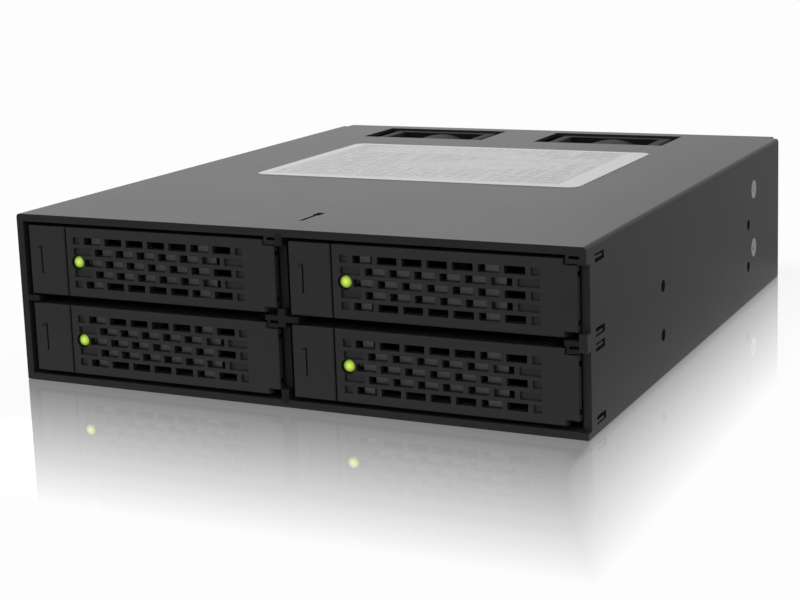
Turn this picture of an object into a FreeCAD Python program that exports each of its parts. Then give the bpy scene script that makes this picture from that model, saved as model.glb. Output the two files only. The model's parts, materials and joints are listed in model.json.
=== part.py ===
import FreeCAD, Part
import math
import os

# Four-bay hot swap cage for 2.5-inch drives, made to fill one half-height 5.25-inch bay.
# X runs to the right, Y from the front to the back and Z up, in millimetres.
# Pieces are drawn with the front face at Y = 0 and stored with the origin under the middle.

V = FreeCAD.Vector
X_AXIS, Y_AXIS, Z_AXIS = V(1, 0, 0), V(0, 1, 0), V(0, 0, 1)

# Whole cage
WIDTH = 146.0               # standard half-height bay device
HEIGHT = 41.3
DEPTH = 170.0               # to the rear lip of the cover
SIDE_DEPTH = 166.5          # side walls stop here
LIP_INSET = 2.4             # the rear lip is narrower than the cover
SHEET = 1.0                 # steel sheet
BEND = 0.9                  # outside radius of the cover's bends

# Folded front edge of the cover
HEM_TOP = 1.8
HEM_SIDE = 1.85
HEM_DEPTH = 7.0
SILL_TOP = 1.7              # folded front edge of the base plate
SILL_DEPTH = 5.0
SETBACK = 2.0               # hinge side walls stand back here between their tabs
SETBACK_HEIGHTS = ((1.5, 18.8), (22.8, 37.5))
KEY_NECK = (0.9, 10.5, 18.0)    # keyhole in the cover: width, front and rear of the neck
KEY_HEAD = (1.9, 17.5, 20.6)

# Bays: two columns and two rows
BAY_WIDTH = 70.2
BAY_PITCH_X = BAY_WIDTH + 1.9
BAY_PITCH_Z = 19.15
FIRST_BAY_LEFT = -WIDTH / 2 + HEM_SIDE
FACE_GAP_LEFT = 1.5         # room for the release button to slide
FACE_WIDTH = 68.55
FACE_HEIGHT = 16.8
FACE_BOTTOM = 2.65
SHELF_BOTTOM = 20.1
SHELF_TOP = SHELF_BOTTOM + SHEET
BAY_REAR = 116.5            # shelves, divider and runners stop here
RUNNER_WIDTH = 3.0
RUNNER_GAP = 0.1            # between a runner and the tray plate above it
GUIDE_LIFT = 11.0           # side guide rib above the tray plate
GUIDE_HEIGHT = 1.6
RUNNER_REAR = BAY_REAR - 4  # ribs and runners stop here
VENT_WIDTH = 15.0           # vents in shelves and tray floors, three abreast
VENT_PITCH = 19.0
VENT_FRONT, VENT_REAR = 20.0, 100.0

# 2.5-inch drive that a tray carries
DRIVE_LENGTH = 100.0
DRIVE_FRONT = 11.0
DRIVE_HOLE_ACROSS = 61.72
DRIVE_HOLES_FROM_REAR = (14.0, 90.6)

# Chassis mounting and hook slots
MOUNT_HOLE_R = 1.5
MOUNT_FIRST_Y = 52.3
MOUNT_PITCH_Y = 79.25
MOUNT_HEIGHTS = (9.9, 21.8)
HOOK_SLOT_FRONT = 5.2
HOOK_SLOT_LENGTH = 5.7
HOOK_SLOT_HEIGHT = 1.85
HOOK_SLOT_LIFTS = (0.2, 16.1)   # slot centres above the bottom of the tray face
HOOK_THIN_LEG = 0.42
HOOK_TONGUE = 0.6
HOOK_END_LEG = 1.5

# Corner tabs beside each handle hinge
TAB_BELOW_FACE = 0.95
TAB_WIDTH = 2.75
TAB_WINDOW_LEFT = 2.1       # left end of the slot in a tab, from the bay's right wall
TAB_WINDOW_HEIGHT = 0.7
ARM_LENGTH = 3.3
ARM_BOTTOM, ARM_TOP = 19.9, 21.3

# Tray face, measured from its lower left front corner
PLATE = 1.6                 # thickness of the moulded face
BUTTON_WIDTH = 10.55
SEAM = 0.35
RIM = 1.0                   # return flange round the back of the face
RIM_DEPTH = 4.6
HINGE_X = FACE_WIDTH - 5.6
END_R = 5.65                # the handle's right end stays within this radius of the pin
TAB_REACH = 3.0             # corner tabs start this far right of the pin
HINGE_Y = 1.8
PIN_R = 0.6
PIN_PLAY = 0.05
KNUCKLE_R = 1.5
EAR_R = 1.15
NOTCH_HEIGHT = 1.25
SLOT_PITCH_X = 6.0
SLOT_PITCH_Z = 2.65
SLOT_WIDTH = 4.8
SLOT_HEIGHT = 1.75
FIRST_SLOT = 16.2
SLOT_ROWS = (-2, -1, 0, 1, 2)
BLIND_DEPTH = 0.6
SHIELD = 0.4                # steel shield behind the grille
SHIELD_HOLE = 2.9
SHIELD_HOLE_START = -1.9    # its holes stand mostly behind the bars between the slots
SHIELD_EDGE = 1.0           # left edge, from the first slot
SHIELD_POST = (31.0, 35.9)  # solid strip, from the first slot
SHIELD_WIDTH = 42.0
SHIELD_MARGIN = 1.6
LAMP_X = 14.05
LAMP_R = 1.45
BUTTON_TRAVEL = 1.2

# Tray plate and frame
TRAY_SHEET = 0.8
TRAY_SIDE_GAP = 0.15
TRAY_FLOOR = 0.2            # underside of the tray plate above the bottom of the face
TRAY_WALL_Y = 9.0
TRAY_REAR = 110.0

# Backplane and ports
BOARD = 1.6
BACKPLANE_Y = 117.0
SOCKET_FRONT = 111.5
SOCKET_WIDTH, SOCKET_HEIGHT = 41.6, 5.8
SOCKET_LIFT = 1.2           # above the tray plate
SOCKET_DEPTH = 4.4
BOARD_VENT_WIDTH, BOARD_VENT_HEIGHT = 25.0, 6.5
BOARD_VENT_LIFT = 8.8       # above the bottom of the tray face
PORT_REAR = 166.0
PORT_LENGTH = 14.0
PORT_WIDTH = 7.0
PORT_GAP = 0.3              # round a port in the rear panel
DATA_PORT_HEIGHT = 16.4
POWER_PORT_HEIGHT = 26.6
PANEL_FRONT = 133.5         # front edges of the rear panel's side flanges

# Fans
FAN_SIZE = 40.0
FAN_DEPTH = 20.0
FAN_REAR = 165.0
FAN_X = {"left": -33.4, "right": 23.9}
FAN_CORNER = 3.0            # chamfer on the corners of the flanges
FAN_PITCH = 32.0            # mounting holes
GUARD_PITCH = 4.0           # finger guard over each fan
GUARD_SLOT = 2.8
FAN_BORE_R = 18.6
FAN_FLANGE = 3.4
FAN_HUB_R = 9.5
FAN_SHAFT_R = 1.5
FAN_BLADES = 5
BLADE_CHORD = 9.6
BLADE_PITCH = 42.0
BLADE_CAMBER = 1.0
BLADE_THICK = 0.8
FAN_Z = HEIGHT / 2

# Label on the cover
LABEL_LEFT, LABEL_RIGHT = -47.4, 45.8
LABEL_FRONT, LABEL_REAR = 68.4, 129.4
LABEL_THICK = 0.12

HALF = WIDTH / 2
DIVIDER_HALF = (BAY_PITCH_X - BAY_WIDTH) / 2
INNER = HALF - SHEET
TOP_INSIDE = HEIGHT - SHEET
COLUMNS = ("left", "right")
ROWS = ("lower", "upper")


def bay_left(column):
    return FIRST_BAY_LEFT + BAY_PITCH_X * COLUMNS.index(column)


def bay_right(column):
    return bay_left(column) + BAY_WIDTH


def face_bottom(row):
    return FACE_BOTTOM + BAY_PITCH_Z * ROWS.index(row)


def box(x0, x1, y0, y1, z0, z1):
    return Part.makeBox(x1 - x0, y1 - y0, z1 - z0, V(x0, y0, z0))


def rod(radius, start, axis, length):
    return Part.makeCylinder(radius, length, start, axis)


def join(shapes):
    return shapes[0].multiFuse(shapes[1:]).removeSplitter()


def along(edge, axis):
    return abs(edge.tangentAt(edge.FirstParameter).dot(axis)) > 0.999


def round_edges(shape, axis, radius, keep=lambda point: True):
    """Rounds the straight edges that run along an axis and whose middle passes the test."""
    edges = [e for e in shape.Edges if along(e, axis) and keep(e.CenterOfMass)]
    return shape.makeFillet(radius, edges)


def prism(points, axis_start, axis_end):
    """A closed outline in X and Y, raised between two heights."""
    corners = [V(x, y, axis_start) for x, y in points]
    face = Part.Face(Part.makePolygon(corners + corners[:1]))
    return face.extrude(V(0, 0, axis_end - axis_start))


def save(name, shape):
    moved = shape.copy()
    moved.translate(V(0, -DEPTH / 2, 0))
    moved.exportStep(os.path.join("parts", name + ".step"))


def mount_holes(side):
    start = side * (HALF + 1)
    return [
        rod(MOUNT_HOLE_R, V(start, y, z), X_AXIS * -side, SHEET + 2)
        for y in (MOUNT_FIRST_Y, MOUNT_FIRST_Y + MOUNT_PITCH_Y)
        for z in MOUNT_HEIGHTS
    ]


def hook_slots(x0, x1):
    """U-shaped slots round a forward tongue; the wide leg faces the middle of the bay."""
    cuts = []
    rear = HOOK_SLOT_FRONT + HOOK_SLOT_LENGTH
    for row in ROWS:
        for lift in HOOK_SLOT_LIFTS:
            middle = face_bottom(row) + lift
            low, high = middle - HOOK_SLOT_HEIGHT / 2, middle + HOOK_SLOT_HEIGHT / 2
            slot = box(x0, x1, HOOK_SLOT_FRONT, rear, low, high)
            upper = lift > FACE_HEIGHT / 2
            tongue_low = high - HOOK_THIN_LEG - HOOK_TONGUE if upper else low + HOOK_THIN_LEG
            tongue_rear = rear - HOOK_END_LEG
            tongue = box(x0, x1, HOOK_SLOT_FRONT, tongue_rear, tongue_low, tongue_low + HOOK_TONGUE)
            slot = slot.cut(tongue)
            cuts.append(slot)
    return cuts


def side_guides(plane, toward):
    """Embossed ribs that steer the drives, one beside each bay on a wall's inner face."""
    ribs = []
    for row in ROWS:
        low = face_bottom(row) + TRAY_FLOOR + TRAY_SHEET + GUIDE_LIFT
        inner = plane + toward * (HEM_SIDE - SHEET)
        x0, x1 = sorted((plane, inner))
        ribs.append(box(x0, x1, DRIVE_FRONT + 1, RUNNER_REAR, low, low + GUIDE_HEIGHT))
    return ribs


SCREW_Y = 137.5
SCREW_HEIGHTS = (14.3, 30.9)
SCREW_HEAD_R = 2.6
SCREW_R = 1.5


def side_screw(side, z, grow=0.0):
    """Countersunk screw, its head flush with the outside of the cover."""
    head = Part.makeCone(
        SCREW_HEAD_R + grow, SCREW_R + grow, SHEET, V(side * HALF, SCREW_Y, z), X_AXIS * -side
    )
    shank = rod(SCREW_R + grow, V(side * (HALF - SHEET), SCREW_Y, z), X_AXIS * -side, 3.0)
    return head.fuse(shank)


def fan_windows(z0, z1):
    half = FAN_SIZE / 2 + 0.1
    front = FAN_REAR - FAN_DEPTH - 0.1
    return [box(x - half, x + half, front, FAN_REAR, z0, z1) for x in FAN_X.values()]


def tab_window(column, row, past):
    """The slot in a corner tab; it runs past the bay's right wall by a given length."""
    right = bay_right(column)
    low = face_bottom(row) + FACE_HEIGHT
    return box(right - TAB_WINDOW_LEFT, right + past, -1, SHEET, low, low + TAB_WINDOW_HEIGHT)


def floor_vents(middle, z0, z1):
    vents = []
    for i in (-1, 0, 1):
        x0 = middle + i * VENT_PITCH - VENT_WIDTH / 2
        vents.append(box(x0, x0 + VENT_WIDTH, VENT_FRONT, VENT_REAR, z0, z1))
    return vents


def cover():
    outer = box(-HALF, HALF, 0, SIDE_DEPTH, 0, HEIGHT)
    outer = round_edges(outer, Y_AXIS, BEND, lambda point: point.z > HEIGHT / 2)
    shell = outer.cut(box(-INNER, INNER, -1, SIDE_DEPTH + 1, -1, TOP_INSIDE))
    added = [
        box(-HALF + LIP_INSET, HALF - LIP_INSET, SIDE_DEPTH - 1, DEPTH, TOP_INSIDE, HEIGHT),
        box(-INNER, INNER, 0, HEM_DEPTH, HEIGHT - HEM_TOP, TOP_INSIDE),
        box(-INNER, -HALF + HEM_SIDE, 0, HEM_DEPTH, 0, TOP_INSIDE),
        box(HALF - HEM_SIDE, INNER, 0, HEM_DEPTH, 0, TOP_INSIDE),
    ]
    tab_low = face_bottom("upper") + FACE_HEIGHT - TAB_BELOW_FACE
    for column in COLUMNS:
        right = bay_right(column)
        added.append(box(right - TAB_WIDTH, right, 0, SHEET, tab_low, HEIGHT - HEM_TOP))
    added += side_guides(-INNER, 1) + side_guides(INNER, -1)
    shell = join([shell] + added)

    cuts = mount_holes(1) + mount_holes(-1)
    cuts += [side_screw(side, z) for side in (1, -1) for z in SCREW_HEIGHTS]
    cuts += hook_slots(HALF - HEM_SIDE - 1, HALF + 1)
    cuts += fan_windows(TOP_INSIDE - 1, HEIGHT + 1)
    for low, high in SETBACK_HEIGHTS:
        cuts.append(box(HALF - HEM_SIDE - 0.01, HALF + 1, -1, SETBACK, low, high))
    cuts += [tab_window(column, "upper", 0.3) for column in COLUMNS]
    # room for the divider's tab, and the keyhole that its tongue was hooked in through
    cuts.append(box(-DIVIDER_HALF, DIVIDER_HALF, -1, HEM_DEPTH, HEIGHT - HEM_TOP - 2.0, TOP_INSIDE))
    for width, front, rear in (KEY_NECK, KEY_HEAD):
        cuts.append(box(-width / 2, width / 2, front, rear, TOP_INSIDE - 1, HEIGHT + 1))
    return shell.cut(cuts)


def runners(column, row):
    top = face_bottom(row) + TRAY_FLOOR - RUNNER_GAP
    bottom = SHEET if row == "lower" else SHELF_TOP
    left, right = bay_left(column) + 0.2, bay_right(column) - 0.2
    return [
        box(left, left + RUNNER_WIDTH, HEM_DEPTH, RUNNER_REAR, bottom, top),
        box(right - RUNNER_WIDTH, right, HEM_DEPTH, RUNNER_REAR, bottom, top),
    ]


BACKPLANE_EARS = (-68.0, 68.0)
EAR_HALF = 3.3
EAR_SCREW_Z = 8.0


def backplane_screw(x):
    shank = rod(SCREW_R, V(x, BACKPLANE_Y, EAR_SCREW_Z), Y_AXIS, BOARD + SHEET)
    head = rod(2.8, V(x, BACKPLANE_Y + BOARD + SHEET, EAR_SCREW_Z), Y_AXIS, 1.8)
    return shank.fuse(head)


def base_plate():
    side = HALF - HEM_SIDE
    pieces = [
        box(-INNER, INNER, HEM_DEPTH, SIDE_DEPTH, 0, SHEET),
        box(-side, side, 0, HEM_DEPTH, 0, SHEET),
        box(-side, side, 0, SILL_DEPTH, SHEET, SILL_TOP),
    ]
    for column in COLUMNS:
        pieces += runners(column, "lower")
    ear_y = BACKPLANE_Y + BOARD
    for x in BACKPLANE_EARS:
        pieces.append(box(x - EAR_HALF, x + EAR_HALF, ear_y, ear_y + SHEET, 0, 12))
    cuts = fan_windows(-1, SHEET + 1)
    cuts += [backplane_screw(x) for x in BACKPLANE_EARS]
    cuts.append(box(-DIVIDER_HALF, DIVIDER_HALF, -1, HEM_DEPTH, SHEET, SILL_TOP + 1))
    return join(pieces).cut(cuts)


def centre_divider():
    """The wall between the columns: its front is folded double and keeps tabs beside the hinges."""
    half = DIVIDER_HALF
    pieces = [
        box(-SHEET / 2, SHEET / 2, SETBACK, BAY_REAR, SHEET, TOP_INSIDE),
        box(-half, half, SETBACK, HEM_DEPTH, SHEET, TOP_INSIDE),
    ]
    for low, high in ((SHEET, 4.2), (18.7, 22.9), (37.4, TOP_INSIDE)):
        pieces.append(box(-half, half, 0, SETBACK, low, high))
    for row in ROWS:
        low = face_bottom(row) + TRAY_FLOOR + TRAY_SHEET + GUIDE_LIFT
        pieces.append(box(-half, half, DRIVE_FRONT + 1, RUNNER_REAR, low, low + GUIDE_HEIGHT))
    cuts = hook_slots(-2, 2)
    # clear of the keyhole above
    cuts.append(box(-2, 2, KEY_NECK[1] - 1, KEY_HEAD[2] + 1.4, TOP_INSIDE - 3.5, TOP_INSIDE + 1))
    return join(pieces).cut(cuts)


def shelf(column):
    left, right = bay_left(column), bay_right(column)
    wall_left = -INNER if column == "left" else SHEET / 2
    wall_right = -SHEET / 2 if column == "left" else INNER
    tab_low = face_bottom("lower") + FACE_HEIGHT - TAB_BELOW_FACE
    pieces = [
        box(wall_left, wall_right, HEM_DEPTH, BAY_REAR, SHELF_BOTTOM, SHELF_TOP),
        box(left, left + ARM_LENGTH, 0, HEM_DEPTH, ARM_BOTTOM, ARM_TOP),
        box(right - TAB_WIDTH, right, 0, SHEET, tab_low, ARM_TOP),
        box(right - ARM_LENGTH, right, 0, HEM_DEPTH, SHELF_BOTTOM, ARM_TOP),
    ]
    pieces += runners(column, "upper")
    cuts = floor_vents((left + right) / 2, SHELF_BOTTOM - 1, SHELF_TOP + 1)
    cuts.append(tab_window(column, "lower", -0.05))
    # clear of the chassis screws
    outer = wall_left if column == "left" else wall_right
    inward = 1 if column == "left" else -1
    x0, x1 = sorted((outer, outer + inward * 5.0))
    front, rear = MOUNT_FIRST_Y - 2.5, MOUNT_FIRST_Y + 2.5
    cuts.append(box(x0, x1, front, rear, SHELF_BOTTOM - 1, SHELF_TOP + 2))
    return join(pieces).cut(cuts)


def finger_guard(x):
    """Straight slots over the fan, each as long as the round mouth is at its height."""
    slots = []
    for k in range(-4, 5):
        z = FAN_Z + k * GUARD_PITCH
        half = math.sqrt(FAN_BORE_R ** 2 - (k * GUARD_PITCH) ** 2)
        low, high = z - GUARD_SLOT / 2, z + GUARD_SLOT / 2
        slots.append(box(x - half, x + half, FAN_REAR - 1, FAN_REAR + 3, low, high))
    return slots


def fan_hole_places(x):
    """The two opposite corners of a fan that are screwed to the rear panel."""
    half = FAN_PITCH / 2
    return [(x - half, FAN_Z + half), (x + half, FAN_Z - half)]


# Each port: its own board's side, left edge in X and middle height
DATA_PORTS = {
    "data_port_1": (-63.0, 29.5),
    "data_port_2": (-63.0, 11.5),
    "data_port_3": (49.0, 29.5),
    "data_port_4": (49.0, 11.5),
}
POWER_PORTS = {"power_port_left": (-7.8, 20.5), "power_port_right": (57.6, 20.5)}
PORT_BOARDS = {"port_board_left": -64.6, "port_board_centre": -9.4, "port_board_right": 56.0}


def rear_panel():
    """Rear wall with its two side flanges, bent from one sheet."""
    outer = box(-INNER, INNER, PANEL_FRONT, FAN_REAR + SHEET, SHEET + 0.1, TOP_INSIDE - 0.1)
    pocket = box(-INNER + SHEET, INNER - SHEET, PANEL_FRONT - 1, FAN_REAR, 0, HEIGHT)
    panel = outer.cut(pocket)
    cuts = [side_screw(side, z) for side in (1, -1) for z in SCREW_HEIGHTS]
    for x in FAN_X.values():
        cuts += finger_guard(x)
        cuts += [rod(1.6, V(hx, FAN_REAR - 1, hz), Y_AXIS, 4) for hx, hz in fan_hole_places(x)]
    ports = [(p, DATA_PORT_HEIGHT) for p in DATA_PORTS.values()]
    ports += [(p, POWER_PORT_HEIGHT) for p in POWER_PORTS.values()]
    for (x, z), height in ports:
        half = height / 2 + PORT_GAP
        right = x + PORT_WIDTH + PORT_GAP
        cuts.append(box(x - PORT_GAP, right, FAN_REAR - 1, FAN_REAR + 3, z - half, z + half))
    return panel.cut(cuts)


def backplane():
    edge = 0.1
    board = box(
        -INNER + edge, INNER - edge, BACKPLANE_Y, BACKPLANE_Y + BOARD, SHEET + edge, TOP_INSIDE - edge
    )
    cuts = [backplane_screw(x) for x in BACKPLANE_EARS]
    for column in COLUMNS:
        middle = (bay_left(column) + bay_right(column)) / 2
        for row in ROWS:
            low = face_bottom(row) + BOARD_VENT_LIFT
            high = low + BOARD_VENT_HEIGHT
            for side in (-1, 1):
                x0, x1 = sorted((middle + side * 2.0, middle + side * (2.0 + BOARD_VENT_WIDTH)))
                cuts.append(box(x0, x1, BACKPLANE_Y - 1, BACKPLANE_Y + 3, low, high))
    return board.cut(cuts)


def drive_socket(column, row):
    """22-way receptacle that takes the drive's data and power blades."""
    middle = (bay_left(column) + bay_right(column)) / 2
    low = face_bottom(row) + TRAY_FLOOR + TRAY_SHEET + SOCKET_LIFT
    half = SOCKET_WIDTH / 2
    rear = SOCKET_FRONT + SOCKET_DEPTH
    slot_low, slot_high = low + 1.6, low + 4.0
    body = box(middle - half, middle + half, SOCKET_FRONT, BACKPLANE_Y, low, low + SOCKET_HEIGHT)
    slot = box(middle - half + 2.6, middle + half - 2.6, SOCKET_FRONT - 1, rear, slot_low, slot_high)
    # the bridge parts the power blades from the data blades
    bridge = box(middle + 7.0, middle + 8.4, SOCKET_FRONT, rear, slot_low, slot_high)
    return body.cut(slot).fuse(bridge).removeSplitter()


def port_board(x):
    return box(x, x + BOARD, BACKPLANE_Y + BOARD, PORT_REAR - 6, 2.8, 38.4)


def port(x, z, height):
    """Vertical shrouded plug: a socket wall round a contact tongue, facing the rear."""
    half = height / 2
    body = box(x, x + PORT_WIDTH, PORT_REAR - PORT_LENGTH, PORT_REAR, z - half, z + half)
    mouth = box(x + 1.0, x + 6.0, PORT_REAR - 8.5, PORT_REAR + 1, z - half + 1.1, z + half - 1.1)
    tongue = box(x + 2.9, x + 4.1, PORT_REAR - 8.6, PORT_REAR - 0.6, z - half + 2.4, z + half - 2.4)
    hook = box(x + 4.0, x + 5.2, PORT_REAR - 8.6, PORT_REAR - 0.6, z - half + 2.4, z - half + 3.5)
    return join([body.cut(mouth), tongue, hook])


def fan_columns(x, front):
    """The four solid corners between the flanges, each with a wedge section."""
    half = FAN_SIZE / 2
    flat = 14.2
    near, far = 12.3, 14.9      # both inner corners lie in the barrel's wall
    outline = [(half - FAN_CORNER, half), (flat, half), (near, far)]
    outline += [(right, up) for up, right in reversed(outline)]
    corners = [V(x + right, front, FAN_Z + up) for right, up in outline]
    column = Part.Face(Part.makePolygon(corners + corners[:1])).extrude(V(0, FAN_DEPTH, 0))
    columns = []
    for k in range(4):
        turned = column.copy()
        turned.rotate(V(x, 0, FAN_Z), Y_AXIS, 90 * k)
        columns.append(turned)
    return columns


def fan_frame(x):
    """Square flanges at both ends of a round barrel, with the motor's seat on four struts."""
    front = FAN_REAR - FAN_DEPTH
    half = FAN_SIZE / 2
    flanges = []
    for y in (front, FAN_REAR - FAN_FLANGE):
        flange = box(x - half, x + half, y, y + FAN_FLANGE, FAN_Z - half, FAN_Z + half)
        corners = [e for e in flange.Edges if along(e, Y_AXIS)]
        flanges.append(flange.makeChamfer(FAN_CORNER, corners))
    barrel = rod(half - 0.3, V(x, front, FAN_Z), Y_AXIS, FAN_DEPTH)
    frame = join(flanges + [barrel] + fan_columns(x, front))
    frame = frame.cut(rod(FAN_BORE_R, V(x, front - 1, FAN_Z), Y_AXIS, FAN_DEPTH + 2))
    holes = []
    for hx, hz in fan_hole_places(x):
        holes.append(rod(SCREW_R, V(hx, FAN_REAR - FAN_FLANGE, hz), Y_AXIS, FAN_FLANGE + 1))
    frame = frame.cut(holes)

    seat_front = FAN_REAR - 2.6
    struts = []
    for angle in (30, 120, 210, 300):
        strut = box(x, x + FAN_BORE_R + 0.5, seat_front, FAN_REAR - 0.4, FAN_Z - 0.9, FAN_Z + 0.9)
        strut.rotate(V(x, 0, FAN_Z), Y_AXIS, angle)
        struts.append(strut)
    seat = rod(FAN_HUB_R, V(x, seat_front, FAN_Z), Y_AXIS, FAN_REAR - 0.2 - seat_front)
    frame = join([frame, seat] + struts)
    return frame.cut(rod(FAN_SHAFT_R + PIN_PLAY, V(x, seat_front - 1, FAN_Z), Y_AXIS, 2.8))


def fan_blade():
    """A cambered strip across the air's way: two arcs, drawn out from the hub to the tip."""
    pitch = math.radians(BLADE_PITCH)

    def place(along_chord, off_chord):
        across = along_chord * math.cos(pitch) - off_chord * math.sin(pitch)
        back = along_chord * math.sin(pitch) + off_chord * math.cos(pitch)
        return V(across, back, FAN_HUB_R - 0.7)

    half = BLADE_CHORD / 2
    camber, thick = BLADE_CAMBER, BLADE_THICK
    front = Part.Arc(place(-half, 0), place(0, camber), place(half, 0)).toShape()
    tip = Part.makeLine(place(half, 0), place(half, thick))
    back = Part.Arc(place(half, thick), place(0, camber + thick), place(-half, thick)).toShape()
    root = Part.makeLine(place(-half, thick), place(-half, 0))
    strip = Part.Face(Part.Wire([front, tip, back, root])).extrude(V(0, 0, FAN_BORE_R))
    swept = rod(FAN_BORE_R - 0.7, V(0, -FAN_DEPTH / 2, 0), Y_AXIS, FAN_DEPTH)
    return strip.common(swept)


def fan_rotor(x):
    """Hub, shaft and blades, turned by the motor inside the hub."""
    front = FAN_REAR - FAN_DEPTH + 1.6
    rear = FAN_REAR - 3.4
    hub = rod(FAN_HUB_R, V(x, front, FAN_Z), Y_AXIS, rear - front)
    hub = hub.makeChamfer(0.7, [e for e in hub.Edges if abs(e.CenterOfMass.y - front) < 0.01])
    shaft = rod(FAN_SHAFT_R, V(x, rear - 1, FAN_Z), Y_AXIS, 3.0)
    pieces = [hub, shaft]
    for k in range(FAN_BLADES):
        blade = fan_blade()
        blade.translate(V(x, (front + rear) / 2, FAN_Z))
        blade.rotate(V(x, 0, FAN_Z), Y_AXIS, 360.0 * k / FAN_BLADES)
        pieces.append(blade)
    return join(pieces)


def fan_screws():
    """Self-tapping screws through the rear panel into the fan corners."""
    screws = []
    for x in FAN_X.values():
        for hx, hz in fan_hole_places(x):
            shank = rod(SCREW_R, V(hx, FAN_REAR - FAN_FLANGE, hz), Y_AXIS, FAN_FLANGE + SHEET)
            head = rod(2.8, V(hx, FAN_REAR + SHEET, hz), Y_AXIS, 1.3)
            screws.append(shank.fuse(head))
    return Part.makeCompound(screws)


def label():
    sheet = box(LABEL_LEFT, LABEL_RIGHT, LABEL_FRONT, LABEL_REAR, HEIGHT, HEIGHT + LABEL_THICK)
    return round_edges(sheet, Z_AXIS, 3.0)


# Tray pieces are drawn once from the face's lower left front corner, then set into each bay.

def tray_plate():
    """Carrier bent from one sheet: the floor under the drive and the vented wall before it."""
    left = -FACE_GAP_LEFT + TRAY_SIDE_GAP
    right = left + BAY_WIDTH - 2 * TRAY_SIDE_GAP
    floor_top = TRAY_FLOOR + TRAY_SHEET
    floor = box(left, right, TRAY_WALL_Y, TRAY_REAR, TRAY_FLOOR, floor_top)
    wall = box(left, right, TRAY_WALL_Y, TRAY_WALL_Y + TRAY_SHEET, TRAY_FLOOR, FACE_HEIGHT - 0.6)
    plate = join([floor, wall])

    cuts = []
    middle = (left + right) / 2
    cuts += floor_vents(middle, TRAY_FLOOR - 1, floor_top + 1)
    drive_rear = DRIVE_FRONT + DRIVE_LENGTH
    for side in (-1, 1):
        x = middle + side * DRIVE_HOLE_ACROSS / 2
        for back in DRIVE_HOLES_FROM_REAR:
            cuts.append(rod(1.6, V(x, drive_rear - back, TRAY_FLOOR - 1), Z_AXIS, TRAY_SHEET + 2))
    # air windows in the wall, above and below the middle of the grille
    for low, high in ((4.2, 6.6), (10.2, 12.6)):
        for x in (FIRST_SLOT + 0.6, FIRST_SLOT + 23.6):
            cuts.append(box(x, x + 19, TRAY_WALL_Y - 1, TRAY_WALL_Y + 2, low, high))
    # the edge beside a chassis screw stands back
    notch_z = (TRAY_FLOOR - 1, floor_top + 1)
    for x0 in (left - 1, right - 0.8):
        cuts.append(box(x0, x0 + 1.8, MOUNT_FIRST_Y - 3, MOUNT_FIRST_Y + 3, *notch_z))
    return plate.cut(cuts)


STEM = (2.0, 7.4, 4.0, 12.8)        # button stem: left, right, low, high
SPRING_Y, SPRING_Z = 6.1, FACE_HEIGHT / 2
SPRING_R = 1.15
SPRING_LEFT, SPRING_RIGHT = 0.6, 6.5
EAR_LEVELS = ((2.7, 3.7), (13.1, 14.1))
CAM_THICK = 1.1
RAIL_FRONT = 5.2


def tray_frame():
    """Moulded frame between face and carrier: button slideway, lamp post and hinge ears."""
    top = FACE_HEIGHT - 0.3
    back = TRAY_WALL_Y
    rail_end = HINGE_X - END_R - 0.7
    lamp_z = FACE_HEIGHT / 2
    lamp_left, lamp_right = LAMP_X - LAMP_R, LAMP_X + LAMP_R
    pieces = [
        box(-1.2, 9.0, RAIL_FRONT, back, 0.3, top),
        box(-1.2, rail_end, RAIL_FRONT, back, 0.3, 1.5),
        box(-1.2, rail_end, RAIL_FRONT, back, top - 1.2, top),
        box(12.3, 15.8, RAIL_FRONT, back, 0.3, top),
        box(rail_end - 0.5, 68.4, 8.2, back, 0.3, 15.5),
    ]
    for low, high in EAR_LEVELS:
        ear = box(HINGE_X - EAR_R, HINGE_X + EAR_R, HINGE_Y, back, low, high)
        nose = rod(EAR_R, V(HINGE_X, HINGE_Y, low), Z_AXIS, high - low)
        pieces += [ear, nose]
    left, right, low, high = STEM
    slide = box(SPRING_LEFT, 9.5, RAIL_FRONT - 1, 8.0, low - 0.1, high + 0.1)
    under = box(SPRING_LEFT, 9.5, 6.8, 8.0, low - 0.8, high + 0.8)
    cuts = [
        slide,
        under,
        box(lamp_left, lamp_right, RAIL_FRONT - 1, back + 1, lamp_z - LAMP_R, lamp_z + LAMP_R),
        rod(PIN_R, V(HINGE_X, HINGE_Y, 0), Z_AXIS, FACE_HEIGHT),
    ]
    return join(pieces).cut(cuts)


def rimmed_face(x0, x1, rim_end):
    """Face plate with a return flange behind its top and bottom edges, softened in front."""
    plate = box(x0, x1, 0, PLATE, 0, FACE_HEIGHT)
    rims = [
        box(x0, rim_end, PLATE, RIM_DEPTH, 0, RIM),
        box(x0, rim_end, PLATE, RIM_DEPTH, FACE_HEIGHT - RIM, FACE_HEIGHT),
    ]
    return plate, rims


def soften_front(shape, size):
    edges = [e for e in shape.Edges if abs(e.CenterOfMass.y) < 0.001 and e.Length > 3]
    return shape.makeChamfer(size, edges)


def row_starts(row):
    """Left edges of the open slots in one row of the grille."""
    if row % 2:
        return [FIRST_SLOT + (k + 0.5) * SLOT_PITCH_X for k in range(6)]
    return [FIRST_SLOT + k * SLOT_PITCH_X for k in range(7)]


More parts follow.
